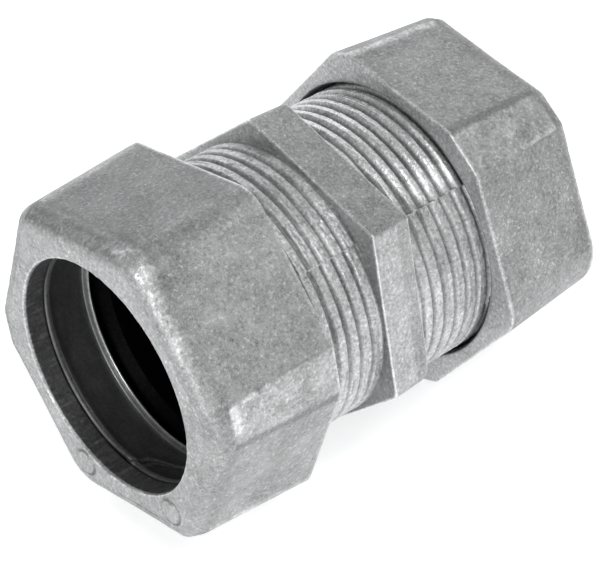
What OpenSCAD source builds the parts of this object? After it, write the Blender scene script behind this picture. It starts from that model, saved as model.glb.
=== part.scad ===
// Conduit compression coupling: a threaded die-cast body that joins two
// lengths of thin-wall conduit, a hex nut on each end and a split steel
// ring inside each nut. The coupling axis runs along X, the origin is on it
// midway between the two ends, and +Z is up as the coupling lies on a table.

/* [Conduit] */
// Outside diameter of the conduit the coupling joins
conduit_od = 29.54; // [29.3:0.02:29.8]
// Diametral play of the conduit in the body's socket
socket_play = 0.36; // [0.2:0.02:0.5]
// Bore left open by the stop rib in the middle of the body
stop_bore_d = 26.8; // [25:0.1:27.5]
// Width of the stop rib along the axis
stop_w = 3; // [2:0.5:5]

/* [Body] */
// Length of the body along the axis
body_len = 39.6; // [38.6:0.2:40.2]
// Distance across the flats of the body's hexagon
body_flats = 36.7; // [36.7:0.1:38.5]
// Width of the body's hexagon along the axis
body_hex_w = 5.8; // [4.8:0.2:6.6]
// Angle of the body's parting corner about the axis, from +Y toward +Z
body_turn = 135; // [0:1:180]
// Length of the cone at each mouth of the body
mouth_cone = 1.4; // [1:0.1:1.6]

/* [Thread] */
// Thread pitch, right hand on both ends
pitch = 1.8; // [1.7:0.05:1.9]
// Outside diameter of the body's thread
thread_d = 36.4; // [36.2:0.1:36.5]
// Depth of the body's thread
thread_h = 0.95; // [0.8:0.05:1]
// Radial clearance between the body's thread and the nut's thread
thread_play = 0.22; // [0.18:0.02:0.26]

/* [Nuts] */
// Distance across the flats at the nut's inner end
nut_flats = 40.5; // [40.2:0.1:41.5]
// Distance across the flats at the nut's outer end
nut_outer_flats = 37.9; // [37.6:0.1:38.6]
// Length of the nut along the axis
nut_len = 17.7; // [17.5:0.1:18.2]
// Bore of the nut's lip
lip_bore_d = 30.3; // [30.1:0.1:31]
// Thickness of the nut's lip
lip_w = 2.9; // [2.5:0.1:3]
// Distance from the body's centre to the left nut's inner face
left_reach = 13.1; // [12.8:0.1:14.4]
// Distance from the body's centre to the right nut's inner face
right_reach = 13.9; // [12.8:0.1:14.4]
// Angle of the left nut's first corner, from +Y toward +Z
left_turn = 47; // [0:1:180]
// Angle of the right nut's first corner, from +Y toward +Z
right_turn = 66.6; // [0:0.2:180]

/* [Rings] */
// Length of the compression ring along the axis
ring_w = 7; // [6.6:0.1:7.1]
// Sheet thickness of the compression ring
ring_t = 0.8; // [0.7:0.05:0.9]
// Inside diameter of the ring's two gripping edges
ring_d = 29.9; // [29.8:0.02:30]
// Width of the slit that lets the ring close
slit_w = 0.6; // [0.4:0.1:1.5]
// Angle of the left ring's slit, from +Y toward +Z
left_slit = 256; // [0:1:359]
// Angle of the right ring's slit, from +Y toward +Z
right_slit = 75; // [0:1:359]

/* [Hidden] */

cast = [0.62, 0.63, 0.64];
steel = [0.45, 0.46, 0.48];

body_x = (left_reach - right_reach)/2;   // the body's centre, from the origin
overcut = 1;                             // how far a cut runs past an end face

// ---------------------------------------------------------------- helpers
function polar(r, angle) = r*[cos(angle), sin(angle)];

// a cylinder or cone along X, of radius r1 at from_x and r2 at to_x
module rod(from_x, to_x, r1, r2 = undef) {
    translate([from_x, 0, 0]) rotate([0, 90, 0])
        cylinder(h = to_x - from_x, r1 = r1, r2 = is_undef(r2) ? r1 : r2, $fn = 96);
}

// stands a shape drawn in XY so that its angles count from +Y toward +Z
// and its Z runs along +X
module upright() {
    rotate([0, 90, 0]) rotate(90) children();
}

// ---------------------------------------------------------------- threads
turn_steps = 48;                     // thread columns in one turn
fold_margin = 0.02;                  // samples this near an end fold into it

crest_r = thread_d/2;
root_r = crest_r - thread_h;

// along the axis, as fractions of the pitch
crest_from = 0.50;
crest_to = 0.78;
flank_run = 0.22;
crest_mid = (crest_from + crest_to)/2;

// one pitch of the body's thread: [fraction of the pitch, radius]
body_profile = [
    [0, root_r], [crest_from - flank_run, root_r],
    [crest_from, crest_r], [crest_to, crest_r]
];

// the nut's groove is centred on the body's crest
groove_gap = 0.14;                   // axial gap on each side of the crest
groove_extra = 0.03;                 // groove depth beyond the radial play
nut_major_r = crest_r + thread_play + groove_extra;
nut_minor_r = root_r + thread_play;

// half the groove's width at radius r, as a fraction of the pitch
function groove_half(r) =
    let (at_crest = (crest_to - crest_from)/2*pitch + groove_gap,
         flank_slope = flank_run*pitch/thread_h)
    (at_crest + flank_slope*(crest_r - r))/pitch;

nut_profile = [
    [crest_mid - groove_half(nut_minor_r), nut_minor_r],
    [crest_mid - groove_half(nut_major_r), nut_major_r],
    [crest_mid + groove_half(nut_major_r), nut_major_r],
    [crest_mid + groove_half(nut_minor_r), nut_minor_r]
];

// A ring with a helical surface. The rows follow the helix, and samples past
// the ends are folded into one plain end ring, so the solid is closed.
// start_x is where the profile starts at angle 0. With inside = false the
// thread is on the outside and plain_r is the hole; with inside = true the
// thread is in the hole and plain_r is the outside.
module threaded_ring(from_x, to_x, plain_r, end_r, profile, start_x = 0, inside = false) {
    count = len(profile);
    n = turn_steps;
    first_turn = floor((from_x - start_x)/pitch) - 2;
    last_turn = ceil((to_x - start_x)/pitch) + 1;
    rows = (last_turn - first_turn)*count;

    // index of the first point of each plain circle
    low = rows*n;
    high = low + n;
    plain_low = high + n;
    plain_high = plain_low + n;

    function helix_x(i, j) =
        start_x + pitch*(first_turn + floor(i/count) + profile[i % count][0] + j/n);
    function folded(i, j) =
        helix_x(i, j) <= from_x + fold_margin ? low + j :
        helix_x(i, j) >= to_x - fold_margin ? high + j :
        i*n + j;
    // the column after the last one is the first one, a pitch further on
    function vertex(i, j) =
        j < n ? folded(i, j) :
        i + count < rows ? folded(i + count, 0) :
        high;
    function point(x, j, r) = [x, each polar(r, 360*j/n)];
    function circle_points(x, r) = [for (j = [0:n - 1]) point(x, j, r)];

    points = concat(
        [for (i = [0:rows - 1]) for (j = [0:n - 1])
            point(min(max(helix_x(i, j), from_x), to_x), j, profile[i % count][1])],
        circle_points(from_x, end_r),
        circle_points(to_x, end_r),
        circle_points(from_x, plain_r),
        circle_points(to_x, plain_r));

    triangles = [for (i = [0:rows - 2]) for (j = [0:n - 1]) each [
        [vertex(i, j), vertex(i + 1, j), vertex(i + 1, j + 1)],
        [vertex(i, j), vertex(i + 1, j + 1), vertex(i, j + 1)]
    ]];
    // folding collapses some triangles, which are left out
    helix = [for (t = triangles) if (t[0] != t[1] && t[1] != t[2] && t[0] != t[2]) t];

    // the two end faces and the plain wall, as bands between two circles
    bands = [[low, plain_low], [plain_high, high], [plain_low, plain_high]];
    plain = [for (band = bands) for (j = [0:n - 1])
        let (next = (j + 1) % n)
        [band[0] + j, band[0] + next, band[1] + next, band[1] + j]];

    polyhedron(
        points = points,
        faces = [for (f = concat(helix, plain))
            inside ? [for (k = [len(f) - 1:-1:0]) f[k]] : f]);
}

// ---------------------------------------------------------------- body
core_r = root_r*cos(180/turn_steps) - 0.05;   // just under the thread's root facets
thread_sink = 1;                     // how deep the thread rings reach into the core
socket_r = (conduit_od + socket_play)/2;
mouth_flare = 1.25;                  // radial widening of the mouth cone
relief = 0.5;                        // plain neck beside the hexagon
lead = 0.9;                          // plain lead-in at the body's mouth

// Each half turn has one sharp corner, on the parting line, and two softened ones.
module body_hex() {
    tip_r = body_flats/2/cos(30);
    sharp_rise = 0.25;
    // softened corner: [angle from the corner, drop below the full corner]
    soft_corner = [[-2.6, 0.62], [0, 0.42], [2.6, 0.62]];
    translate([-body_hex_w/2, 0, 0]) upright() rotate(body_turn)
        linear_extrude(body_hex_w) polygon([for (half = [0, 180]) each concat(
            [polar(tip_r + sharp_rise, half)],
            [for (corner = [60, 120]) for (p = soft_corner)
                polar(tip_r - p[1], half + corner + p[0])])]);
}

module body_thread(from_x, to_x) {
    threaded_ring(from_x, to_x, core_r - thread_sink, root_r, body_profile);
}

module coupling_body() {
    end_x = body_len/2;
    thread_from = body_hex_w/2 + relief;
    thread_to = end_x - lead;
    mouth_r = socket_r + mouth_flare;
    color(cast) difference() {
        union() {
            rod(-end_x, end_x, core_r);
            body_hex();
            body_thread(thread_from, thread_to);
            body_thread(-thread_to, -thread_from);
        }
        rod(-end_x - overcut, end_x + overcut, stop_bore_d/2);
        rod(-end_x - overcut, -stop_w/2, socket_r);
        rod(stop_w/2, end_x + overcut, socket_r);
        rod(-end_x, -end_x + mouth_cone, mouth_r, socket_r);
        rod(end_x - mouth_cone, end_x, socket_r, mouth_r);
    }
}

// ---------------------------------------------------------------- rings
ring_arch = 0.8;                     // rise of the strip above its edges
ring_inner_r = ring_d/2;
ring_arch_r = ring_inner_r + ring_arch;
ring_outer_r = ring_arch_r + ring_t;
ring_play = 0.15;                    // axial play between ring and lip
slit_slant = 34;                     // angle of the slit to the axis
slit_depth = 5;                      // radial size of the slit cutter

// section of the ring: [x, radius]
ring_section = [
    [0, ring_inner_r], [0.6, ring_inner_r],
    [1.2, ring_arch_r], [ring_w - 1.6, ring_arch_r],
    [ring_w - 1.1, ring_inner_r], [ring_w, ring_inner_r],
    [ring_w, ring_inner_r + 0.55], [ring_w - 0.9, ring_outer_r - 0.25],
    [ring_w - 2, ring_outer_r], [1.1, ring_outer_r],
    [0.25, ring_outer_r - 0.35], [0, ring_outer_r - 0.8]
];

// An arched strip rolled into a ring: both edges turn in to grip the
// conduit. It starts at x = 0 beside the nut's lip.
module ring(slit_angle) {
    difference() {
        rotate([0, 90, 0]) rotate_extrude($fn = 96)
            polygon([for (p = ring_section) [p[1], p[0]]]);
        // the slit runs aslant across the strip
        rotate([slit_angle, 0, 0]) translate([ring_w/2, ring_arch_r, 0])
            rotate([0, -slit_slant, 0])
                cube([ring_w*2.2, slit_depth, slit_w], center = true);
    }
}

// distance from the body's centre to a ring's outer end
function ring_reach(nut_reach) = nut_reach + nut_len - lip_w - ring_play;

module right_compression_ring() {
    color(steel) translate([ring_reach(right_reach), 0, 0])
        mirror([1, 0, 0]) ring(right_slit);
}

module left_compression_ring() {
    color(steel) translate([-ring_reach(left_reach), 0, 0])
        ring(left_slit);
}

// ---------------------------------------------------------------- nuts
liner_from = 0.9;                    // thread liner, from the nut's inner face
liner_to = 9.9;
liner_sink = 0.5;                    // how deep the liner reaches into the nut's wall
cup_r = nut_major_r + 0.2;           // plain hole behind the thread liner
cup_len = liner_to + 0.4;
chamber_r = ring_outer_r + 0.35;     // room for the ring
lip_relief = 0.33;                   // relief at the rim of the lip's bore
slice = 0.01;                        // thickness of a hull slice, and a fine overcut

// The outline is measured on a nut of this half width across the flats.
outline_half = 20.27;
narrow_r = 22.45;                    // narrow corners
narrow_half_angle = 2.2;
blunt_r = 22.02;                     // blunt corners
blunt_half_angle = 7;
round_r = 3.6;                       // rounding radius of the rounded corners

rim_len = 1.6;                       // the rim's rounding along the axis
rim_draw = 1.8;                      // and toward the axis
rim_steps = 4;

// The section of a nut, as corner points in turn: each half turn has a narrow
// corner, a blunt one and a rounded one. half_w is the half width across the flats.
function nut_outline(half_w) =
    let (round_centre_r = (outline_half - round_r)/cos(30))
    half_w/outline_half*[for (half = [0, 180]) each concat(
        [for (d = [-1, 1]) polar(narrow_r, half + d*narrow_half_angle)],
        [for (d = [-1, 1]) polar(blunt_r, half + 60 + d*blunt_half_angle)],
        [for (d = [-30, -10, 10, 30])
            polar(round_centre_r, half + 120) + polar(round_r, half + 120 + d)])];

module nut_slice(half_w) {
    linear_extrude(slice) polygon(nut_outline(half_w));
}

// outside of a nut from its inner face at z = 0 to its rounded rim
module nut_outside() {
    hull() {
        nut_slice(nut_flats/2);
        for (i = [0:rim_steps])
            let (angle = 90*i/rim_steps,
                 z = nut_len - rim_len + rim_len*sin(angle),
                 half_w = (nut_flats + (nut_outer_flats - nut_flats)*z/nut_len)/2)
                translate([0, 0, z - slice])
                    nut_slice(half_w - rim_draw*(1 - cos(angle)));
    }
}

// A nut that opens toward -X: its inner face is at x = 0 and its lip ends at
// x = nut_len. thread_x is where the body's thread starts in this frame.
module nut(thread_x, turn) {
    lip_r = lip_bore_d/2;
    difference() {
        upright() rotate(turn) nut_outside();
        rod(-overcut, cup_len, cup_r);
        rod(-overcut, nut_len - lip_w, chamber_r);
        rod(-overcut, nut_len + overcut, lip_r);
        rod(nut_len - lip_relief, nut_len + slice, lip_r, lip_r + lip_relief + slice);
    }
    threaded_ring(liner_from, liner_to, cup_r + liner_sink, nut_major_r, nut_profile,
                  start_x = thread_x, inside = true);
}

module right_compression_nut() {
    color(cast) translate([right_reach, 0, 0]) nut(-right_reach, right_turn);
}

// The left nut is the right nut turned end for end about Z, which keeps its
// thread right-handed. The turn takes angle a to 180 - a, and a crest at
// fraction c of the pitch to -c - 1/2, so the profile starts 1.5 - 2c later,
// give or take whole pitches.
module left_compression_nut() {
    color(cast) rotate([0, 0, 180]) translate([left_reach, 0, 0])
        nut(-left_reach + pitch*(1.5 - 2*crest_mid), 180 - left_turn);
}

translate([body_x, 0, 0]) coupling_body();
translate([body_x, 0, 0]) left_compression_nut();
translate([body_x, 0, 0]) right_compression_nut();
translate([body_x, 0, 0]) left_compression_ring();
translate([body_x, 0, 0]) right_compression_ring();
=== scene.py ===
"""A compression coupling in die-cast zinc: a threaded body with a hexagon round
its middle, and at each end a hexagonal nut holding a split steel ring.

The axis is X, with left at -X; the front is -Y and up is +Z. Lengths are in
millimetres and angles in degrees unless noted. Angles round the axis run from
+Y to +Z. Pieces are modelled about the body's centre and moved to BODY_X.
"""
import math
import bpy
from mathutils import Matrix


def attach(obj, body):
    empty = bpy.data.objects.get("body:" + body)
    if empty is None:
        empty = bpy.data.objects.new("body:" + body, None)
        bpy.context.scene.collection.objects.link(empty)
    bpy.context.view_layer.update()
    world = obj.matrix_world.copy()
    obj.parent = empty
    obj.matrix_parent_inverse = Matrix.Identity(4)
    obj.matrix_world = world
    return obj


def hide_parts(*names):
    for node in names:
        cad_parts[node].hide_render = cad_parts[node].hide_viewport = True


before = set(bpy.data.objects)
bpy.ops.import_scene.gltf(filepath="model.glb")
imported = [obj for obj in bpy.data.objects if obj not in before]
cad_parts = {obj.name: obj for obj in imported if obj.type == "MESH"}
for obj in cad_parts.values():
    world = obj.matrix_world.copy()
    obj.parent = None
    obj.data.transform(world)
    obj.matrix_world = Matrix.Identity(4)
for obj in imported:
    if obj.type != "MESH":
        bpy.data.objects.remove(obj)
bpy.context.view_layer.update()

from types import SimpleNamespace

import bpy
import bmesh
import numpy as np
from mathutils import Matrix, Vector

# ------------------------------------------------------------------ dimensions
MM = 0.001
COLUMN_STEP = 0.5      # angle between the even columns of a casting
PARTING = 135.0        # parting plane of the casting

THREAD_PITCH = 1.8
CREST_R = 18.2
ROOT_R = 17.25
CREST_TURN = 0.64      # place of a crest within one turn
# side: (where its crests lie, how far the casting's halves are out of step),
# in pitches
THREAD_PHASE = {-1: (-0.17, 0.05), 1: (-0.55, 0.16)}

BODY_HALF = 19.8       # half length of the body
HEX_HALF = 2.9         # half width of its hexagon
HEX_EDGE = 0.16        # rounding of the hexagon's edges
HEX_TAPER = 0.30       # fall of the hexagon from left to right
# corners of the hexagon: angle, radius
HEX_CORNERS = [
    (PARTING, 21.8), (PARTING + 61.8, 21.2), (PARTING + 118.2, 21.2),
    (PARTING + 180, 21.8), (PARTING + 241.8, 21.9), (PARTING + 298.2, 21.2)]
SOCKET_R = 14.95
MOUTH_EDGE = 0.12      # axial depth of the bevel at a mouth
CONE_DEPTH = 1.28
CONE_RISE = 1.18
STOP_R = 13.4          # rib in the middle of the socket
STOP_HALF = 1.5

LEFT_REACH = 13.1      # from the origin to the inner face of each nut
RIGHT_REACH = 13.9
BODY_X = (LEFT_REACH - RIGHT_REACH) / 2
NUT_LENGTH = 17.7
NUT_EDGE = 0.22        # rounding of the inner edge
LIP_R = 15.15
LIP_WIDTH = 2.9
CHAMBER_R = 16.95      # room for the ring, behind the lip
CHAMBER_END = 10.3     # its distance from the inner face
NUT_BORE_R = 18.5
NUT_MOUTH_R = 18.75
PIN_R = 1.6            # about the radius of a round mark on the outer face

RING_WIDTH = 7.0
RING_GRIP_R = 14.95
RING_CHANNEL_R = 15.78
RING_SHEET = 0.8
RING_GAP = 1.0         # angle between the ends
RING_CLEARANCE = 0.12  # from the lip
RING_COLUMNS = 360

# turn: angle of the first narrow corner; sense: way in which the narrow, broad
# and rounded corners follow each other; shorter: taken off length and lip;
# trim: taken off the outer end's outline; rim_length, rim_drop: rounding of the
# outer rim; sag: whether the outside hangs low; pins: angle, radius of each
# round mark of an ejector pin. The others weigh worn edges with painted
# highlights, painted shade on one flat, and speckle.
LEFT_NUT = SimpleNamespace(
    name="left_nut_casting", side=-1, reach=LEFT_REACH, turn=47.0, sense=-1,
    seed=40, shorter=0.0, trim=0.0, rim_length=2.9, rim_drop=1.95, sag=0.0,
    edge_wear_and_highlight=0.50, tip_shine=1.0, flat_shade=0.36, rough_flat=0.0,
    pins=[(285.4, 17.2), (227.3, 17.45)])
RIGHT_NUT = SimpleNamespace(
    name="right_nut_casting", side=1, reach=RIGHT_REACH, turn=66.6, sense=1,
    seed=70, shorter=0.80, trim=0.06, rim_length=2.3, rim_drop=2.1, sag=1.0,
    edge_wear_and_highlight=0.75, tip_shine=0.0, flat_shade=0.0, rough_flat=1.0,
    pins=[(190.0, 17.2), (248.0, 17.45)])


# ------------------------------------------------------------------ noise
LATTICE_FACTORS = np.array([374761393, 668265263, 1440662683])


def lattice_value(cell, seed):
    """A fixed random value from -1 to 1 for each whole-number cell."""
    h = (cell @ LATTICE_FACTORS + seed * 974634777) & 0xffffffff
    h = ((h ^ (h >> 13)) * 1274126177) & 0xffffffff
    h = h ^ (h >> 16)
    return (h & 0xffff) / 32767.5 - 1.0


def noise(spot, size, seed):
    """Smooth noise at the points given; size is that of a noise cell."""
    place = spot / size
    cell = np.floor(place).astype(np.int64)
    part = place - cell
    part = part * part * (3 - 2 * part)
    total = np.zeros(spot.shape[:-1])
    for corner in np.ndindex(2, 2, 2):
        share = np.where(corner, part, 1 - part)
        weight = share[..., 0] * share[..., 1] * share[..., 2]
        total += weight * lattice_value(cell + corner, seed)
    return total


def layered_noise(spot, size, octaves, seed):
    total = np.zeros(spot.shape[:-1])
    weight = 1.0
    weights = 0.0
    for k in range(octaves):
        total += weight * noise(spot, size / 2 ** k, seed + 17 * k)
        weights += weight
        weight *= 0.55
    return total / weights


# ------------------------------------------------------------------ curves
def smooth(start, end, value):
    """0 at start and 1 at end, eased at both."""
    t = np.clip((value - start) / (end - start), 0, 1)
    return t * t * (3 - 2 * t)


def mix(first, second, share):
    return first * (1 - share) + second * share


def bell(offset, width):
    return np.exp(-(offset / width) ** 2)


def wrap180(angle):
    return (angle + 180.0) % 360.0 - 180.0


def points(x, radius, angle):
    turn = np.radians(angle)
    return np.stack(np.broadcast_arrays(x, radius * np.cos(turn), radius * np.sin(turn)), -1)


# ------------------------------------------------------------------ meshing
def column_angles(marks):
    """Angles round the axis: an even grid, plus exact marks."""
    marks = np.array(sorted(set(np.round(np.mod(marks, 360), 4))))
    kept = [a for a in np.arange(0, 360, COLUMN_STEP)
            if np.min(np.abs(wrap180(marks - a))) > COLUMN_STEP * 0.45]
    return np.array(sorted(kept + list(marks)))


class Rows:
    """Rows of a lofted surface, each with a value for every column.

    Rows are added in the zone that is set at the time."""

    def __init__(self, count, zone=""):
        self.blank = np.zeros(count)
        self.zone = zone
        self.rows = []
        self.zones = []

    def add(self, x, radius, wear=0.0, dirt=0.0):
        self.rows.append([self.blank + value for value in (x, radius, wear, dirt)])
        self.zones.append(self.zone)

    def arrays(self):
        """x, radius, and the masks for worn edges with painted highlights and for soiling with
        painted shade, each as columns by rows.
        """
        return np.array(self.rows).transpose(1, 2, 0)

    def within(self, zone):
        return np.array(self.zones) == zone


def loft(name, x, radius, angle, sharp, attributes, closed=True):
    """A closed surface through columns by rows of x, radius and angle."""
    columns, rows = radius.shape
    corners = points(x + BODY_X, radius, angle).reshape(-1, 3) * MM
    col, row = np.meshgrid(np.arange(columns if closed else columns - 1),
                           np.arange(rows), indexing="ij")
    next_col = (col + 1) % columns
    next_row = (row + 1) % rows
    faces = np.stack([col * rows + row, col * rows + next_row,
                      next_col * rows + next_row, next_col * rows + row],
                     -1).reshape(-1, 4).tolist()
    if not closed:
        # the profile is a strip folded in half, so an end closes with quads
        for first, reverse in ((0, False), ((columns - 1) * rows, True)):
            last = first + rows - 1
            for k in range(rows // 2 - 1):
                quad = [first + k, first + k + 1, last - 1 - k, last - k]
                faces.append(quad[::-1] if reverse else quad)
    mesh = bpy.data.meshes.new(name)
    mesh.from_pydata(corners.tolist(), [], faces)
    bm = bmesh.new()
    bm.from_mesh(mesh)
    bmesh.ops.recalc_face_normals(bm, faces=bm.faces)
    if bm.calc_volume(signed=True) < 0:
        bmesh.ops.reverse_faces(bm, faces=bm.faces)
    limit = math.radians(sharp)
    for face in bm.faces:
        face.smooth = True
    for edge in bm.edges:
        edge.smooth = len(edge.link_faces) != 2 or edge.calc_face_angle(0.0) < limit
    bm.to_mesh(mesh)
    bm.free()
    for key, values in attributes.items():
        layer = mesh.attributes.new(key, "FLOAT", "POINT")
        values = np.broadcast_to(values, radius.shape).reshape(-1)
        layer.data.foreach_set("value", np.ascontiguousarray(values, dtype=np.float32))
    return add_object(name, mesh)


def add_object(name, data):
    ob = bpy.data.objects.new(name, data)
    bpy.context.scene.collection.objects.link(ob)
    return ob


# ------------------------------------------------------------------ outlines
def polygon_radius(angle, planes):
    """Polar radius of the convex shape cut by planes (angle, distance)."""
    radius = np.full_like(angle, 1e9)
    for facing, distance in planes:
        c = np.cos(np.radians(angle - facing))
        radius = np.where(c > 0.05, np.minimum(radius, distance / np.maximum(c, 0.05)), radius)
    return radius


def blur(angle, outline, sigma):
    """Rounds the corners of a polar outline by a short angular blur."""
    offsets = np.linspace(-2.2, 2.2, 15)
    weights = np.exp(-offsets * offsets / 2)
    weights /= weights.sum()
    return sum(w * outline(angle + k * sigma) for w, k in zip(weights, offsets))


def nut_outline(nut, angle, flat, narrow, broad, corner_r):
    """Outline of a nut: distances of its flats, narrow facets and broad
    facets from the axis, and the radius of its rounded corners."""
    planes = [(nut.turn + 30 + 60 * k, flat) for k in range(6)]
    planes += [(a, narrow) for a in nut.narrow_at] + [(a, broad) for a in nut.broad_at]

    def sharp(at):
        return polygon_radius(at, planes)

    radius = sharp(angle)
    crisp = blur(angle, sharp, 0.28)
    soft = blur(angle, sharp, 0.75)
    # each broad facet is soft on the side toward the narrow corner
    for across in nut.across_broad:
        radius = mix(radius, soft, smooth(9, 4, np.abs(across + 8.2)))
        radius = mix(radius, crisp, smooth(6, 3, np.abs(across - 8.2)))
    for centre in nut.narrow_at:
        near = smooth(9, 6, np.abs(wrap180(angle - centre)))
        radius = mix(radius, blur(angle, sharp, 0.45), near)
    # the rounded corners
    arc_centre = (flat - corner_r) / math.cos(math.radians(30))
    arc_half = 30 - math.degrees(math.atan2(arc_centre * 0.5, flat))
    for centre in nut.rounded_at:
        offset = wrap180(angle - centre)
        across = arc_centre * np.sin(np.radians(offset))
        arc = (arc_centre * np.cos(np.radians(offset))
               + np.sqrt(np.maximum(corner_r * corner_r - across * across, 0)))
        radius = np.where(np.abs(offset) < arc_half, arc, radius)
    return radius


def hexagon_outline(angle):
    """The body's hexagon: sharp corners on the parting plane, softer ones between."""
    def sharp(at):
        radius = np.zeros_like(at)
        for (a0, r0), (a1, r1) in zip(HEX_CORNERS, HEX_CORNERS[1:] + HEX_CORNERS[:1]):
            span = (a1 - a0) % 360
            past = (at - a0) % 360
            start = np.array([r0, 0.0])
            end = r1 * np.array([math.cos(math.radians(span)), math.sin(math.radians(span))])
            side = end - start
            normal = np.array([side[1], -side[0]]) / np.hypot(*side)
            facing = math.degrees(math.atan2(normal[1], normal[0]))
            flat = (normal @ start) / np.cos(np.radians(past - facing))
            radius = np.where(past <= span, flat, radius)
        return radius

    radius = sharp(angle)
    for k, (centre, _) in enumerate(HEX_CORNERS):
        on_parting = k % 3 == 0
        sigma, outer, inner = (0.22, 1.2, 0.6) if on_parting else (1.1, 3.6 * 1.1, 2.2 * 1.1)
        near = smooth(outer, inner, np.abs(wrap180(angle - centre)))
        radius = mix(radius, blur(angle, sharp, sigma), near)
    return radius


# ------------------------------------------------------------------ body
def below_parting(angle):
    """Whether a column is in the lower front half of the casting."""
    return (angle - PARTING) % 360 < 180


def thread_height(x, angle):
    """0 at the root and 1 at the crest of the body's thread."""
    phase, step = THREAD_PHASE[1 if x > 0 else -1]
    lower = below_parting(angle)
    turns = x / THREAD_PITCH - angle / 360.0 + np.where(lower, step, -step) - phase
    from_crest = np.abs((turns - CREST_TURN + 0.5) % 1.0 - 0.5)
    # narrow crests on the upper right, flatter and fuller ones elsewhere
    crest_half = np.where(~lower & (x > 0), 0.15, 0.25)
    return 1.0 - smooth(crest_half, 0.485, from_crest)


def thread_row(x, angle, hexagon):
    """Radius, wear and dirt of one row of the body's thread."""
    right = x > 0
    from_hex = abs(x) - HEX_HALF
    height = thread_height(x, angle)
    spot = points(x, CREST_R, angle)
    arc = spot / [0.45, 3.2, 3.2]          # draws noise out round the body
    past = wrap180(angle - PARTING)
    parting_gap = np.minimum(np.abs(past), np.abs(wrap180(angle - PARTING - 180)))
    lower = below_parting(angle).astype(float)

    # depth of the grooves: uneven, and fading toward the hexagon and parting
    filled = layered_noise(spot, 5.0, 3, 11)
    depth = (CREST_R - ROOT_R) * (0.62 + 0.34 * smooth(-0.5, 0.4, filled))
    if right:
        over_flat = 1.0 - np.clip(hexagon - CREST_R, 0, 1)
        depth = depth * mix(0.3 + 0.7 * smooth(0, 1.0, from_hex),
                            0.12 + 0.88 * smooth(0.3, 3.0, from_hex), over_flat)
    else:
        depth = depth * (0.25 + 0.75 * smooth(0.1, 1.2, from_hex))
    depth = depth * (0.72 + 0.28 * smooth(0.3, 1.6, parting_gap))
    if right:
        crisp = 1.0 - 0.50 * np.maximum(
            lower, smooth(14, 3, np.abs(wrap180(angle - PARTING + 3))) * 0.7)
    else:
        # sharp just below the parting line, washed out lower down
        crisp = 0.50 + 0.22 * lower - 0.46 * smooth(14, 54, past) * smooth(176, 150, past)
    depth = depth * crisp

    # radius: the profile, roughened, with chipped crests and filled grooves
    end = smooth(BODY_HALF, BODY_HALF - 1.0, abs(x))
    radius = CREST_R - 0.15 - 0.9 * (1 - end) - depth * (1 - height) * end
    ragged = 0.025 if right else 0.035
    radius = radius + ragged * noise(spot, 0.30, 5) * (0.35 + height)
    radius = radius + 0.02 * noise(spot, 0.22, 9) * (0.3 + height)
    chipped = smooth(0.35, 0.7, noise(arc, 1.0, 63))
    radius = radius - 0.12 * height * chipped * (1 - 0.75 * crisp)
    skin = smooth(0.05, 0.5, layered_noise(spot, 2.4, 2, 31))
    radius = radius + 0.10 * (1 - height) * skin
    # the line of flash along the parting plane
    flash = smooth(0.36, 0.12, parting_gap) * end
    flash_top = CREST_R - 0.22 + 0.16 * noise(spot, 0.8, 3)
    radius = np.minimum(radius + flash * np.maximum(flash_top - radius, 0.03), CREST_R)

    # crests worn bright, and brightened further on the upper right as a painted highlight
    upper = (1 - lower) * smooth(0, 6, np.abs(past))
    crest_rub_and_highlight = 0.45 + 0.80 * upper if right else 0.55
    crest_rub_and_highlight = crest_rub_and_highlight + 0.16 * layered_noise(spot, 0.9, 2, 51) + 0.18 * noise(arc, 1.0, 52)
    if not right:
        # a painted highlight along one edge of each crest, broken here and there
        rising = thread_height(x + 0.03, angle) > thread_height(x - 0.03, angle)
        bright = smooth(0.10, 0.02, np.abs(height - 0.72)) * rising
        crest_rub_and_highlight = crest_rub_and_highlight + 1.1 * bright * lower * smooth(-0.35, 0.2, noise(arc, 1.0, 71))
    bend = np.where(upper > 0.5, 1.3, 2.0) if right else 2.0
    wear = mix(np.clip(height ** bend * crest_rub_and_highlight, 0, 1.3), 0.55 + 0.5 * noise(spot, 0.7, 8), flash)

    # painted shade in the grooves, and dark streaks and scabs
    streak = smooth(0.20, 0.5, noise(arc, 1.0, 61)) * (1 - 0.6 * crisp)
    scab = smooth(0.42, 0.62, layered_noise(spot, 1.5, 3, 67)) * (1 - 0.55 * crisp)
    groove = (1 - height) ** (1.8 if right else 1.3) * crisp
    dirt = np.clip(np.maximum(groove, 0.75 * np.maximum(streak, 1.2 * scab)), 0, 1)
    return radius, wear, dirt * (1 - flash)


def ridge_row(x, angle):
    """Radius and height of the ridges that run over the right of the hexagon."""
    height = thread_height(x, angle)
    radius = (CREST_R - 0.12 - 0.30 * (1 - height)
              + 0.03 * noise(points(x, CREST_R, angle), 0.42, 5) - 0.5 * smooth(2.0, 0.9, x))
    return radius, height


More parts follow.
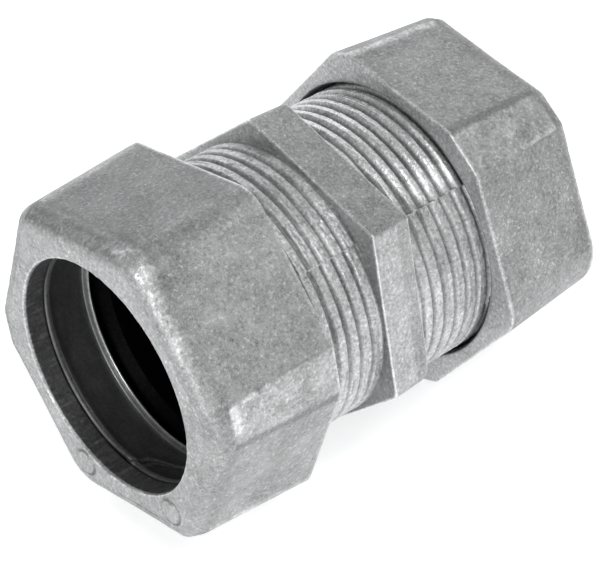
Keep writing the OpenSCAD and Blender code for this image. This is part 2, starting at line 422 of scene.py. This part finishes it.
def add_hexagon(rows, angle, hexagon):
    """The hexagon from its left face over the flats to its right face."""
    edge = HEX_EDGE
    past = wrap180(angle - PARTING)
    spot = points(0, hexagon, angle)
    wobble = 0.3 * (0.05 * noise(spot, 1.6, 21) + 0.03 * noise(spot, 0.6, 22))
    foot = np.minimum(CREST_R - 0.25, hexagon - 0.3)
    # painted shade darkens the left face at its foot and all of it below the parting line
    darkening = 0.62 * smooth(0, 12, past) * smooth(178, 150, past)
    for t in np.linspace(0, 1, 9)[1:-1]:
        rows.add(-HEX_HALF, foot + (hexagon - edge - foot) * t,
                 dirt=np.maximum(0.35 * (1 - t) ** 2, darkening))
    # the rounded edge, worn and brightened further by a painted highlight
    rows.add(-HEX_HALF, hexagon - edge, wear=0.5)
    rows.add(-HEX_HALF + edge * 0.35 + wobble, hexagon - edge * 0.30, wear=1.9)
    rows.add(-HEX_HALF + edge + wobble, hexagon, wear=1.3)

    # a painted highlight makes the flat that faces forward brighter than the others
    front = smooth(0, 2, past) * smooth(62, 59, past)
    # two opposite corners fall away toward the right
    fallen = 0.40 * (bell(wrap180(angle - PARTING - 61.8), 5.0)
                     + bell(wrap180(angle - PARTING - 241.8), 5.0))
    for x in np.linspace(-HEX_HALF + edge, HEX_HALF - edge, 56)[1:]:
        along = (x + HEX_HALF) / (2 * HEX_HALF)
        top = hexagon - HEX_TAPER * along + 0.012 * noise(spot + [along * 5, 0, 0], 1.2, 23)
        top = top - fallen * smooth(HEX_HALF - 1.5, HEX_HALF, x) ** 2
        if x > 0.9:
            ridge, height = ridge_row(x, angle)
            over = smooth(-0.06, 0.06, ridge - top)
            edge_wear_and_highlight = 0.7 if x > HEX_HALF - edge - 1e-6 else 0
            # painted shade in the grooves between the ridges and where they meet the flat
            rows.add(x, np.maximum(top, ridge),
                     wear=mix(edge_wear_and_highlight, 0.4 * height, over),
                     dirt=(0.8 * over * (1 - height)
                           + 0.35 * smooth(0.12, 0.0, np.abs(ridge - top))))
        else:
            rows.add(x, top, wear=0.30 * front)
    top = hexagon - HEX_TAPER - fallen
    for x, drop, wear in ((HEX_HALF - edge * 0.35, edge * 0.3, 1.0), (HEX_HALF, edge, 0.5)):
        ridge, _ = ridge_row(x, angle)
        rows.add(x, np.maximum(top - drop, ridge), wear=wear * (top - drop > ridge))
    # painted shade at the foot of the right face
    for t in np.linspace(1, 0, 9)[1:-1]:
        rows.add(HEX_HALF, np.maximum(foot + (top - edge - foot) * t, foot),
                 dirt=0.35 * (1 - t) ** 2)


def socket_half(edge_wear_and_highlight, edge_dirt_and_shade):
    """x, radius and colour masks, darkened as painted shade, from the right mouth
    to the stop rib; the values given are those of the edge of the cone."""
    cone_start = BODY_HALF - MOUTH_EDGE
    rows = [(BODY_HALF, CREST_R - 1.25, 0.6, 0),
            (BODY_HALF, SOCKET_R + 1.32, 0.8, 0),
            (cone_start, SOCKET_R + CONE_RISE, edge_wear_and_highlight, edge_dirt_and_shade)]
    rows += [(cone_start - CONE_DEPTH * t, SOCKET_R + CONE_RISE * (1 - t), 0.3, 0.2)
             for t in np.linspace(0, 1, 6)[1:]]
    rows += [(x, SOCKET_R, 0, 0.5)
             for x in np.linspace(cone_start - CONE_DEPTH, STOP_HALF + 0.15, 40)[1:]]
    return rows + [(STOP_HALF, SOCKET_R - 0.1, 0.2, 0.6),
                   (STOP_HALF, STOP_R + 0.3, 0.6, 0.3),
                   (STOP_HALF - 0.25, STOP_R, 0.8, 0.2),
                   (0.6, STOP_R, 0.1, 0.3)]


def build_body():
    marks = [PARTING + 180 * k + d for k in (0, 1) for d in (-1, -0.42, -0.14, 0.14, 0.42, 1)]
    marks += [PARTING + corner + 180 * k + d for k in (0, 1) for corner in (-61.8, 61.8)
              for d in range(-3, 4)]
    angle = column_angles(marks)
    hexagon = hexagon_outline(angle)
    rows = Rows(len(angle))
    start = -BODY_HALF + 0.02
    left = np.linspace(start, -HEX_HALF, int(round((-HEX_HALF - start) / 0.1)) + 1)
    for x in left:
        rows.add(x, *thread_row(x, angle, hexagon))
    add_hexagon(rows, angle, hexagon)
    for x in -left[::-1]:
        rows.add(x, *thread_row(x, angle, hexagon))
    rows.zone = "inside"
    for row in socket_half(edge_wear_and_highlight=0.8, edge_dirt_and_shade=0) + [(0.0, STOP_R, 0.1, 0.3)]:
        rows.add(*row)
    for x, *row in socket_half(edge_wear_and_highlight=0.3, edge_dirt_and_shade=0.2)[::-1]:
        rows.add(-x, *row)
    x, radius, wear, dirt = rows.arrays()
    # the whole inside is painted almost black, as shade
    return loft("threaded_body", x, radius, angle[:, None], sharp=34, attributes={
        "wear": wear, "dirt": dirt, "deep": np.where(rows.within("inside"), 0.99, 0.0)})


# ------------------------------------------------------------------ nuts
# along a nut, s is the distance outward from its inner face
def add_flats(rows, nut):
    """The inner edge and the flats, as far as the rounded rim."""
    angle, seed = nut.angle, nut.seed
    spot = points(0, nut.outside(0), angle)
    wobble = noise(spot, 2.2, seed) * 0.5 + noise(spot, 0.7, seed + 1) * 0.5
    rows.add(0, nut.outside(0) - NUT_EDGE, wear=0.4)
    rows.add(0.07, nut.outside(0) - NUT_EDGE * 0.3, wear=1.0)
    rows.add(NUT_EDGE, nut.outside(NUT_EDGE) + 0.01 * wobble, wear=0.8)

    # how near a column is to a worn edge of a narrow facet, and how far onto a
    # broad facet, which is brightened whole as a painted highlight
    edge = np.zeros_like(angle)
    for centre in nut.narrow_at:
        from_edge = np.abs(np.abs(wrap180(angle - centre)) - 4.0)
        edge = np.maximum(edge, smooth(2.2, 0.4, from_edge))
    tip = np.zeros_like(angle)      # the rim ends of the broad facets
    for across in nut.across_broad:
        edge = np.maximum(edge, 0.85 * smooth(8.0, 6.0, np.abs(across)))
        tip = np.maximum(tip, smooth(6.5, 3.5, np.abs(across - 2.0)))
    # painted shade darkens the flat next to the first narrow corner
    painted_shade = nut.flat_shade * smooth(27, 21, np.abs(wrap180(angle - (nut.turn + 30))))
    rim_start = nut.length - nut.rim_length
    for s in np.linspace(NUT_EDGE, rim_start, 44)[1:]:
        spot = points(s, nut.outside(s), angle)
        radius = nut.outside(s) + 0.02 * layered_noise(spot, 3.5, 3, seed + 2)
        # painted shade on the flats near the rim
        near_rim = smooth(rim_start - 1.2, rim_start + 0.4, s)
        ragged = 0.75 + 0.6 * noise(spot, 0.8, seed + 15)
        # a painted highlight at the rim end of each broad facet
        shine = tip * bell(s - (rim_start - 0.35) + 0.2 * ragged, 0.65) * nut.tip_shine
        # the long edges of a broad facet: a painted highlight along the crisp one,
        # painted shade along the other
        facet_half = 8.1 - 1.6 * s / nut.length
        line = crease = 0.0
        for across in nut.across_broad:
            line = np.maximum(line, smooth(0.9, 0.2, np.abs(across - facet_half)))
            crease = np.maximum(crease, smooth(2.6, 0.5, np.abs(across + facet_half + 1.2)))
        line = line * (0.5 + 0.8 * smooth(4, 14, s)) * (0.7 + 0.9 * noise(spot, 0.6, seed + 16))
        rows.add(s, radius,
                 wear=nut.edge_wear_and_highlight * edge * ragged + 0.9 * shine + np.clip(line, 0, 2),
                 dirt=0.30 * near_rim * (1 - tip) + 0.55 * crease * (1 - shine) + painted_shade)


def add_rim(rows, nut):
    """The rounded rim: worn all round, with a painted highlight from a rounded
    corner to the next broad facet and painted shade on the other side of it.
    """
    angle, seed = nut.angle, nut.seed
    lit = painted_shade = peak = 0.0
    for centre in nut.rounded_at:
        past = wrap180(angle - centre) * -nut.sense
        lit = np.maximum(lit, smooth(-14, -5, past) * smooth(60, 8, past))
        peak = np.maximum(peak, bell(past + 2, 7.0))
        painted_shade = np.maximum(painted_shade, smooth(-12, -18, past) * smooth(-62, -52, past))
    shine = 0.65 + 0.5 * layered_noise(points(nut.length, 20.0, angle), 4.0, 3, seed + 9)
    rim_start = nut.length - nut.rim_length
    steps = 16
    for i in range(1, steps + 1):
        t = i / steps
        turn = math.radians(90.0 * t)
        s = rim_start + nut.rim_length * math.sin(turn)
        spot = points(s, nut.outside(s), angle)
        bright_at = 0.40 + 0.08 * noise(spot, 1.4, seed + 17)
        broken = 0.55 + 0.9 * np.clip(noise(spot, 0.40, seed + 18) + 0.4, 0, 1)
        # the brightening here is mostly a painted highlight, the darkening below it painted
        # shade
        wear = (bell(t - bright_at, 0.17 + 0.09 * peak) * shine * (0.28 + 0.95 * lit)
                * broken * (1 + 2.3 * peak))
        rim_shade = 0.55 * painted_shade * bell(t - 0.28, 0.14) * (0.8 + 0.5 * noise(spot, 0.9, seed + 19))
        uneven = 0.06 * noise(spot, 1.3, seed + 4) + 0.04 * noise(spot, 0.5, seed + 5)
        # a squarer curve than a circle, so the turn is tight in the middle
        cosine, sine = math.cos(turn) ** 0.86, math.sin(turn) ** 0.86
        s = rim_start + nut.rim_length * sine
        radius = nut.outside(s) - nut.rim_drop * (1 - cosine) + uneven * math.sin(2 * turn)
        rows.add(s, radius, wear, dirt=0.30 * (1 - t) + rim_shade)


def add_outer_face(rows, nut):
    """The outer face, with the round marks of the die's ejector pins."""
    angle, seed = nut.angle, nut.seed
    face_r = nut.outside(nut.length) - nut.rim_drop
    for t in np.linspace(0, 1, 36)[1:]:
        radius = mix(face_r, LIP_R + 0.36, t)
        spot = points(nut.length, radius, angle)
        s = nut.length
        darkening = 0.0
        for pin_angle, pin_at in nut.pins:
            _, pin_y, pin_z = points(0, pin_at, pin_angle)
            off_y, off_z = spot[:, 1] - pin_y, spot[:, 2] - pin_z
            away = np.hypot(off_y, off_z)
            s = (s + 0.18 * smooth(PIN_R + 0.02, PIN_R - 0.14, away)
                 - 0.10 * smooth(0.26, 0.0, np.abs(away - (PIN_R + 0.14))))
            # grime gathers on the low side of each mark
            bearing = np.degrees(np.arctan2(off_z, off_y))
            # painted shade in the groove round each mark, and a painted shadow on its low side
            low_side = smooth(100, 20, np.abs(wrap180(bearing + 115)))
            ring = smooth(0.32, 0.05, np.abs(away - (PIN_R + 0.10)))
            darkening = np.maximum(darkening, ring * (0.45 + 0.75 * low_side))
        s = s + 0.02 * noise(spot, 1.5, seed + 6) - 0.05 * (1 - smooth(0, 0.12, t))
        rows.add(np.minimum(s, nut.length + 0.12), radius,
                 wear=0.15 * (1 - darkening), dirt=0.9 * darkening)
    nick = 0.06 * noise(points(nut.length, LIP_R, angle), 0.9, seed + 7)
    rows.add(nut.length - 0.10, LIP_R + 0.14 + nick, wear=0.9)
    rows.add(nut.length - 0.34, LIP_R + 0.02, wear=0.6, dirt=0.2)


def add_bore(rows, nut):
    """The wall of the lip, the chamber for the ring, the thread and the mouth."""
    # painted shade darkens the whole bore, most of all the chamber
    lip_end = nut.length - nut.lip_width
    for s in np.linspace(nut.length - 0.5, lip_end + 0.12, 14):
        scratch = noise(points(s, LIP_R, nut.angle) / [2.2, 0.35, 0.35], 1.0, nut.seed + 12)
        rows.add(s, LIP_R + 0.022 * scratch,
                 wear=0.45 * smooth(0.30, 0.7, scratch), dirt=0.75 + 0.40 * scratch)
    rows.add(lip_end, LIP_R + 0.1, wear=0.3, dirt=0.6)
    rows.add(lip_end, CHAMBER_R - 0.1, dirt=1.0)
    rows.add(lip_end - 0.2, CHAMBER_R, dirt=1.0)
    rows.add(CHAMBER_END, CHAMBER_R, dirt=1.0)
    thread_start = CHAMBER_END - 0.1
    for s in np.linspace(thread_start, 0.9, 80):
        x = nut.side * (nut.reach + s)
        turns = x / THREAD_PITCH - nut.angle / 360.0 - CREST_TURN - THREAD_PHASE[nut.side][0]
        from_crest = np.abs((turns + 0.5) % 1.0 - 0.5)     # 0 over a crest of the body
        tooth = smooth(0.34, 0.45, from_crest)
        ends = smooth(thread_start, thread_start - 0.8, s) * smooth(0.9, 1.7, s)
        rows.add(s, NUT_BORE_R - 0.24 * tooth * ends, wear=0.2 * tooth, dirt=1 - 0.6 * tooth)
    rows.add(0.75, NUT_BORE_R, dirt=0.8)
    rows.add(0.25, NUT_BORE_R + 0.05, wear=0.1, dirt=0.6)
    rows.add(0.0, NUT_MOUTH_R, wear=0.4, dirt=0.3)


def build_nut(nut):
    nut.length = NUT_LENGTH - nut.shorter
    nut.lip_width = LIP_WIDTH - nut.shorter
    nut.narrow_at = (nut.turn, nut.turn + 180)
    nut.broad_at = [a + nut.sense * 60 for a in nut.narrow_at]
    nut.rounded_at = [a - nut.sense * 60 for a in nut.narrow_at]
    # columns are denser over the facets, on both sides of each corner
    offsets = [0, *np.arange(3, 10.5, 0.5), 11, 12]
    nut.angle = column_angles([nut.turn + 60 * k + sign * d for k in range(6)
                               for d in offsets for sign in (-1, 1)])
    nut.across_broad = [wrap180(nut.angle - a) * nut.sense for a in nut.broad_at]
    inner = nut_outline(nut, nut.angle, flat=20.28, narrow=22.6, broad=21.62, corner_r=4.6)
    outer = nut_outline(nut, nut.angle, flat=19.08 - nut.trim, narrow=21.5 - nut.trim,
                        broad=20.65 - nut.trim, corner_r=5.0)

    def outside(s):
        t = np.clip(s / nut.length, 0, 1)
        # the outside of the right nut is cast a little low of its bore
        low = nut.sag * (0.12 + 0.30 * t) * np.cos(np.radians(nut.angle - 268))
        return mix(inner, outer, t) + low

    nut.outside = outside
    rows = Rows(len(nut.angle), zone="flats")
    add_flats(rows, nut)
    rows.zone = "outer end"
    add_rim(rows, nut)
    add_outer_face(rows, nut)
    rows.zone = "bore"
    add_bore(rows, nut)
    rows.zone = "inner face"
    for t in np.linspace(0, 1, 8)[1:-1]:
        rows.add(0.0, mix(NUT_MOUTH_R, outside(0) - NUT_EDGE, t), wear=0.35)
    s, radius, wear, dirt = rows.arrays()
    rough = nut.rough_flat * smooth(26, 20, np.abs(wrap180(nut.angle - (nut.turn + 90))))
    # the bore is painted dark as shade, a little less where it is worn
    return loft(nut.name, nut.side * (nut.reach + s), radius, nut.angle[:, None], sharp=34,
                attributes={
                    "wear": wear, "dirt": dirt,
                    "deep": np.where(rows.within("bore"), 0.50 - 0.3 * np.clip(wear, 0, 1), 0.0),
                    "speck": np.where(rows.within("flats"), rough[:, None], 0.0)})


# ------------------------------------------------------------------ rings
def build_ring(name, nut, slit):
    """A sheet-steel strip rolled round, both edges turned in, cut aslant.

    Along the strip, x runs inward from its outer edge."""
    grip, channel, width = RING_GRIP_R, RING_CHANNEL_R, RING_WIDTH
    edge = np.linspace(0, 1, 5)
    wall = np.linspace(0, 1, 7)[1:]
    floor = np.linspace(0, 1, 9)[1:]
    lip = edge[1:]
    # the side toward the axis: x, radius
    inner_x, inner_r = np.hstack([
        (0.04 + 0.62 * edge,
         grip + 0.10 * (2 * edge - 1) ** 2 * np.where(edge < 0.5, 1, 0.4)),
        (0.66 + 0.55 * wall, grip + 0.04 + (channel - grip - 0.04) * smooth(0, 1, wall)),
        (1.21 + (width - 0.88 - 1.21) * floor, channel + 0.04 * np.sin(math.pi * floor)),
        (width - 0.88 + 0.46 * wall, channel + (grip + 0.03 - channel) * smooth(0, 1, wall)),
        (width - 0.42 + 0.37 * lip, grip + 0.03 + 0.34 * lip * lip)])
    rows = len(inner_x)
    outer_x = width * np.linspace(0, 1, rows)
    outer_r = (grip + 0.8 + RING_SHEET - 0.02
               - 0.85 * np.maximum(0.0, 1 - outer_x / 0.95) ** 2
               - 1.15 * np.maximum(0.0, 1 - (width - outer_x) / 1.9) ** 2)
    strip_x = np.concatenate([inner_x, outer_x[::-1]])
    strip_r = np.concatenate([inner_r, outer_r[::-1]])
    # how far the cut has turned at each x
    cut = -nut.side * np.interp(strip_x,
                                [0, 1.3, 2.7, 3.3, 3.6, 3.9, 5.0, 7.0],
                                [0, -2.2, -4.2, -10.0, -16.5, -22.5, -29.0, -34.0])
    round_ring = np.linspace(0, 1, RING_COLUMNS)[:, None]
    angle = slit + cut + RING_GAP / 2 + (360 - RING_GAP) * round_ring
    # the two ends do not quite line up
    offset = 0.168 * smooth(0.06, 0.0, round_ring)
    radius = strip_r - 0.10 * smooth(0.05, 0.0, round_ring)
    start = nut.side * (nut.reach + NUT_LENGTH - LIP_WIDTH - RING_CLEARANCE)
    # worn bright, partly as painted highlight, on the turned-in edges and at the cut; painted
    # shade in the channel, on the inner lip and on the side against the nut
    wear = np.zeros_like(radius)
    wear[:, 2:7] = 0.55
    wear[:, rows - 7:rows - 4] = 0.55
    wear[:3] = 0.9
    wear[-3:] = 0.9
    dirt = np.full_like(radius, 0.25)
    dirt[:, 8:rows - 10] = 0.8
    dirt[:, rows - 3:] = 1.0
    return loft(name, start - nut.side * (strip_x + offset), radius, angle, sharp=40,
                closed=False, attributes={"wear": wear, "dirt": dirt})


body = build_body()
left_nut = build_nut(LEFT_NUT)
right_nut = build_nut(RIGHT_NUT)
left_ring = build_ring("left_split_ring", LEFT_NUT, slit=269.0)
right_ring = build_ring("right_split_ring", RIGHT_NUT, slit=75.0)

for ob, bone, node, slot in (
        (body, "body", "coupling_body", "cast_zinc"),
        (left_nut, "left_nut", "left_compression_nut", "cast_zinc"),
        (right_nut, "right_nut", "right_compression_nut", "cast_zinc"),
        (left_ring, "left_ring", "left_compression_ring", "ring_steel"),
        (right_ring, "right_ring", "right_compression_ring", "ring_steel")):
    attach(ob, bone)
    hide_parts(node)


# ------------------------------------------------------------------ materials
# texture scales are in cells per metre, bump distances in metres
def math_node(tree, operation, *values, clamp=False):
    node = tree.nodes.new("ShaderNodeMath")
    node.operation = operation
    node.use_clamp = clamp
    for socket, value in zip(node.inputs, values):
        if isinstance(value, (int, float)):
            socket.default_value = value
        else:
            tree.links.new(value, socket)
    return node.outputs[0]


class Shader:
    """A material with one principled shader, and short ways to feed it."""

    def __init__(self, name):
        self.material = bpy.data.materials.new(name)
        self.material.use_nodes = True
        self.tree = self.material.node_tree
        self.tree.nodes.clear()
        output = self.tree.nodes.new("ShaderNodeOutputMaterial")
        principled = self.tree.nodes.new("ShaderNodeBsdfPrincipled")
        self.inputs = principled.inputs
        self.link(principled.outputs[0], output.inputs[0])
        self.place = self.tree.nodes.new("ShaderNodeTexCoord").outputs["Object"]

    def link(self, source, socket):
        self.tree.links.new(source, socket)

    def node(self, kind, **values):
        node = self.tree.nodes.new(kind)
        for key, value in values.items():
            node.inputs[key.replace("_", " ")].default_value = value
        return node

    def attribute(self, name):
        node = self.node("ShaderNodeAttribute")
        node.attribute_name = name
        return node.outputs["Fac"]

    def mapping(self, **values):
        node = self.node("ShaderNodeMapping", **values)
        self.link(self.place, node.inputs[0])
        return node.outputs[0]

    def noise(self, scale, detail, rough, distort=0.0, at=None):
        node = self.node("ShaderNodeTexNoise", Scale=scale, Detail=detail,
                         Roughness=rough, Distortion=distort)
        self.link(at or self.place, node.inputs["Vector"])
        return node.outputs[0]

    def math(self, operation, *values, clamp=False):
        return math_node(self.tree, operation, *values, clamp=clamp)

    def multiply(self, first, second, clamp=False):
        return self.math("MULTIPLY", first, second, clamp=clamp)

    def add(self, base, source, amount, clamp=False):
        """base plus an amount of the source."""
        return self.math("MULTIPLY_ADD", source, amount, base, clamp=clamp)

    def vary(self, base, texture, amount):
        """base moved up and down by a texture centred on 0.5."""
        return self.add(base, self.math("SUBTRACT", texture, 0.5), amount)

    def ramp(self, source, lo, hi, start=0.0, end=1.0, kind="SMOOTHSTEP"):
        node = self.node("ShaderNodeMapRange", From_Min=lo, From_Max=hi,
                         To_Min=start, To_Max=end)
        node.interpolation_type = kind
        self.link(source, node.inputs["Value"])
        return node.outputs[0]

    def grey(self, level):
        """A grey, very slightly blue."""
        node = self.node("ShaderNodeCombineColor")
        for socket, tint in zip(node.inputs, (0.994, 1.0, 1.008)):
            self.link(self.multiply(level, tint), socket)
        return node.outputs[0]

    def bump(self, height, strength, distance, under=None):
        node = self.node("ShaderNodeBump", Strength=strength, Distance=distance)
        self.link(height, node.inputs["Height"])
        if under is not None:
            self.link(under, node.inputs["Normal"])
        return node.outputs[0]


def cast_zinc(name, shift, base, contrast):
    """Die-cast zinc: matt mottled grey with a fine pitted skin, bright on worn
    edges and painted highlights, and darker in grooves and bores as painted shade."""
    shader = Shader(name)
    skin = shader.mapping(Location=shift)
    blotch = shader.noise(scale=150, detail=3, rough=0.5, distort=0.4, at=skin)
    patch = shader.noise(scale=520, detail=4, rough=0.62, distort=0.3, at=skin)
    grain = shader.noise(scale=2300, detail=3, rough=0.7, at=skin)
    fine = shader.noise(scale=5200, detail=2, rough=0.6, at=skin)
    wear = shader.attribute("wear")
    dirt = shader.attribute("dirt")
    # base grey, mottled at four sizes
    grey = shader.vary(base, blotch, amount=0.30 * contrast)
    grey = shader.vary(grey, patch, amount=0.36 * contrast)
    grey = shader.vary(grey, grain, amount=0.55 * contrast)
    grey = shader.vary(grey, fine, amount=0.40 * contrast)
    grey = shader.add(grey, shader.ramp(grain, lo=0.58, hi=0.70), amount=0.18)
    # a flat cast against a rough place in the die has bright specks
    rough_flat = shader.attribute("speck")
    dots = shader.noise(scale=2700, detail=2, rough=0.6, distort=0.6, at=skin)
    dots = shader.multiply(shader.ramp(dots, lo=0.57, hi=0.66), rough_flat)
    dots = shader.multiply(dots, shader.ramp(blotch, lo=0.40, hi=0.60, start=0.25))
    grey = shader.add(grey, dots, amount=0.30)
    pits = shader.ramp(grain, lo=0.40, hi=0.27)
    grey = shader.add(grey, pits, amount=-0.05, clamp=True)
    # soiling and painted shade, worn brightness and painted highlights, and the bores painted
    # dark as shade
    dirt = shader.multiply(dirt, shader.ramp(patch, lo=0.2, hi=0.75, start=0.55))
    grey = shader.multiply(grey, shader.ramp(dirt, 0.0, 1.0, start=1.0, end=0.42, kind="LINEAR"))
    wear = shader.multiply(wear, shader.ramp(grain, lo=0.3, hi=0.62, start=0.45), clamp=True)
    grey = shader.add(grey, wear, amount=0.38, clamp=True)
    grey = shader.multiply(grey, shader.math("SUBTRACT", 1.0, shader.attribute("deep")))
    shader.link(shader.grey(grey), shader.inputs["Base Color"])
    specular = shader.add(0.5, shader.attribute("deep"), amount=-0.5, clamp=True)
    shader.link(specular, shader.inputs["Specular IOR Level"])
    shader.inputs["Metallic"].default_value = 0.72
    rough = shader.vary(0.50, patch, amount=0.25)
    rough = shader.vary(rough, grain, amount=0.22)
    rough = shader.add(rough, dirt, amount=0.12)
    rough = shader.add(rough, wear, amount=-0.24, clamp=True)
    shader.link(rough, shader.inputs["Roughness"])
    height = shader.add(shader.multiply(fine, 0.35), grain, amount=0.6)
    height = shader.add(height, dots, amount=0.6)
    normal = shader.bump(height, strength=0.75, distance=0.00012)
    normal = shader.bump(patch, strength=0.35, distance=0.00018, under=normal)
    normal = shader.bump(blotch, strength=0.25, distance=0.0003, under=normal)
    shader.link(normal, shader.inputs["Normal"])
    return shader.material


def ring_steel():
    """Rolled sheet steel, smooth; darker in the channel as painted shade, and worn bright at its
    edges with painted highlights.
    """
    shader = Shader("rolled_steel")
    stretched = shader.mapping(Scale=(900, 260, 260))
    draw = shader.noise(scale=1.0, detail=3, rough=0.6, distort=0.1, at=stretched)
    blotch = shader.noise(scale=240, detail=3, rough=0.55, distort=0.3)
    grain = shader.noise(scale=2600, detail=3, rough=0.6)
    wear = shader.attribute("wear")
    dirt = shader.attribute("dirt")
    grey = shader.vary(0.30, blotch, amount=0.12)
    grey = shader.vary(grey, draw, amount=0.20)
    grey = shader.vary(grey, grain, amount=0.26)
    grey = shader.multiply(grey, shader.ramp(dirt, 0.0, 1.0, start=1.0, end=0.62, kind="LINEAR"))
    wear = shader.multiply(wear, shader.ramp(grain, lo=0.25, hi=0.6, start=0.45), clamp=True)
    grey = shader.add(grey, wear, amount=0.30, clamp=True)
    shader.link(shader.grey(grey), shader.inputs["Base Color"])
    shader.inputs["Metallic"].default_value = 0.85
    rough = shader.vary(0.40, draw, amount=0.2)
    rough = shader.add(rough, wear, amount=-0.08, clamp=True)
    shader.link(rough, shader.inputs["Roughness"])
    normal = shader.bump(draw, strength=0.25, distance=0.00006)
    normal = shader.bump(grain, strength=0.25, distance=0.00004, under=normal)
    shader.link(normal, shader.inputs["Normal"])
    return shader.material


def pale_paper():
    """Matt paper with a faint glow."""
    shader = Shader("pale_paper")
    tone = shader.noise(scale=6, detail=3, rough=0.5)
    shader.link(shader.grey(shader.add(0.86, tone, amount=0.02)), shader.inputs["Base Color"])
    shader.inputs["Roughness"].default_value = 0.9
    shader.inputs["Emission Color"].default_value = (1, 1, 1, 1)
    shader.inputs["Emission Strength"].default_value = 0.52
    fibre = shader.noise(scale=900, detail=3, rough=0.6)
    shader.link(shader.bump(fibre, strength=0.05, distance=0.0001), shader.inputs["Normal"])
    return shader.material


def put(ob, material):
    ob.data.materials.clear()
    ob.data.materials.append(material)


put(body, cast_zinc("zinc_body", shift=(0, 0, 0), base=0.43, contrast=1.0))
put(left_nut, cast_zinc("zinc_left_nut", shift=(0.31, 0.12, 0.05), base=0.39, contrast=0.9))
put(right_nut, cast_zinc("zinc_right_nut", shift=(0.72, 0.55, 0.21), base=0.39, contrast=0.9))
steel = ring_steel()
put(left_ring, steel)
put(right_ring, steel)

# ------------------------------------------------------------------ floor
# a sheet that touches the nuts and sweeps up behind; metres
FLOOR_HALF = 1.6
FLOOR_FRONT = -1.2
FLOOR_BACK = 1.0
SWEEP_R = 0.25
SWEEP_STEPS = 16
SWEEP_TOP = 1.4
FLOOR_TURN = -40


def build_floor():
    floor_z = min((ob.matrix_world @ vertex.co).z
                  for ob in (left_nut, right_nut) for vertex in ob.data.vertices)
    profile = [(FLOOR_FRONT, 0.0), (FLOOR_BACK, 0.0)]
    for i in range(1, SWEEP_STEPS + 1):
        turn = math.radians(90.0 * i / SWEEP_STEPS)
        profile.append((FLOOR_BACK + SWEEP_R * math.sin(turn), SWEEP_R * (1 - math.cos(turn))))
    profile.append((FLOOR_BACK + SWEEP_R, SWEEP_TOP))
    bm = bmesh.new()
    rows = [[bm.verts.new((x, y, floor_z + z)) for x in np.linspace(-FLOOR_HALF, FLOOR_HALF, 9)]
            for y, z in profile]
    for near, far in zip(rows, rows[1:]):
        for i in range(8):
            bm.faces.new((near[i], near[i + 1], far[i + 1], far[i]))
    mesh = bpy.data.meshes.new("floor_sweep")
    bm.to_mesh(mesh)
    bm.free()
    for polygon in mesh.polygons:
        polygon.use_smooth = True
    floor = add_object("floor_sweep", mesh)
    floor.rotation_euler = (0, 0, math.radians(FLOOR_TURN))
    put(floor, pale_paper())


build_floor()

# ------------------------------------------------------------------ camera
# The view is set from a frame turned about X, with its origin left of the
# body's centre. A rotation vector in radians and an offset carry that frame
# into the camera's, where x is right, y down and z away.
VIEW_TILT = -59.0
VIEW_ORIGIN = 30.48
VIEW_ROTATION = Vector((3.068, -0.674, 0.955))
VIEW_OFFSET = Vector((-23.021, 10.153, 273.413))

to_camera = Matrix.Rotation(VIEW_ROTATION.length, 3, VIEW_ROTATION.normalized())
turned = to_camera @ Matrix.Rotation(math.radians(VIEW_TILT), 3, "X")
offset = to_camera @ Vector((VIEW_ORIGIN - BODY_X, 0, 0)) + VIEW_OFFSET
location = -(turned.transposed() @ offset)
# Blender's camera has y up and looks along -z
flip = Matrix(((1, 0, 0), (0, -1, 0), (0, 0, -1)))
camera_data = bpy.data.cameras.new("camera")
camera = add_object("camera", camera_data)
camera.matrix_world = (Matrix.Translation(location * MM)
                       @ (flip @ turned).transposed().to_4x4())
camera_data.sensor_fit = "HORIZONTAL"
camera_data.sensor_width = 36.0
camera_data.lens = 141.86754
camera_data.shift_x = -0.00547
camera_data.shift_y = 0.00191833
camera_data.clip_start = 0.01
camera_data.clip_end = 20
bpy.context.scene.camera = camera

# ------------------------------------------------------------------ light
# a pale studio, brighter toward the front (-Y) and near the horizon
BASE_LIGHT = 0.32
HORIZON_LIGHT = 0.06
BACK_LIGHT = -0.23

world = bpy.data.worlds.new("studio")
bpy.context.scene.world = world
world.use_nodes = True
tree = world.node_tree
background = tree.nodes["Background"]
direction = tree.nodes.new("ShaderNodeTexCoord").outputs["Generated"]
split = tree.nodes.new("ShaderNodeSeparateXYZ")
tree.links.new(direction, split.inputs[0])
# inputs that an operation does not use are set to 0
steepness = math_node(tree, "ABSOLUTE", split.outputs[2], 0.0, 0.0)
level = math_node(tree, "SUBTRACT", 1.0, steepness, 0.0, clamp=True)
amount = math_node(tree, "MULTIPLY_ADD", level, HORIZON_LIGHT, BASE_LIGHT)
amount = math_node(tree, "MULTIPLY_ADD", split.outputs[1], BACK_LIGHT, amount)
tree.links.new(amount, background.inputs["Strength"])
background.inputs[0].default_value = (1.0, 1.0, 1.0, 1)


def area_light(name, location, size_x, size_y, watts):
    """A rectangular light aimed at the origin; metres."""
    data = bpy.data.lights.new(name, "AREA")
    data.shape = "RECTANGLE"
    data.size = size_x
    data.size_y = size_y
    data.energy = watts
    light = add_object(name, data)
    light.location = location
    light.rotation_euler = (-Vector(location)).to_track_quat("-Z", "Y").to_euler()


area_light("key", location=(-0.80, -0.30, 0.36), size_x=0.24, size_y=0.20, watts=2.7)
area_light("top", location=(0.0, -0.45, 0.85), size_x=0.7, size_y=0.7, watts=2.4)

bpy.context.scene.view_settings.view_transform = "Standard"
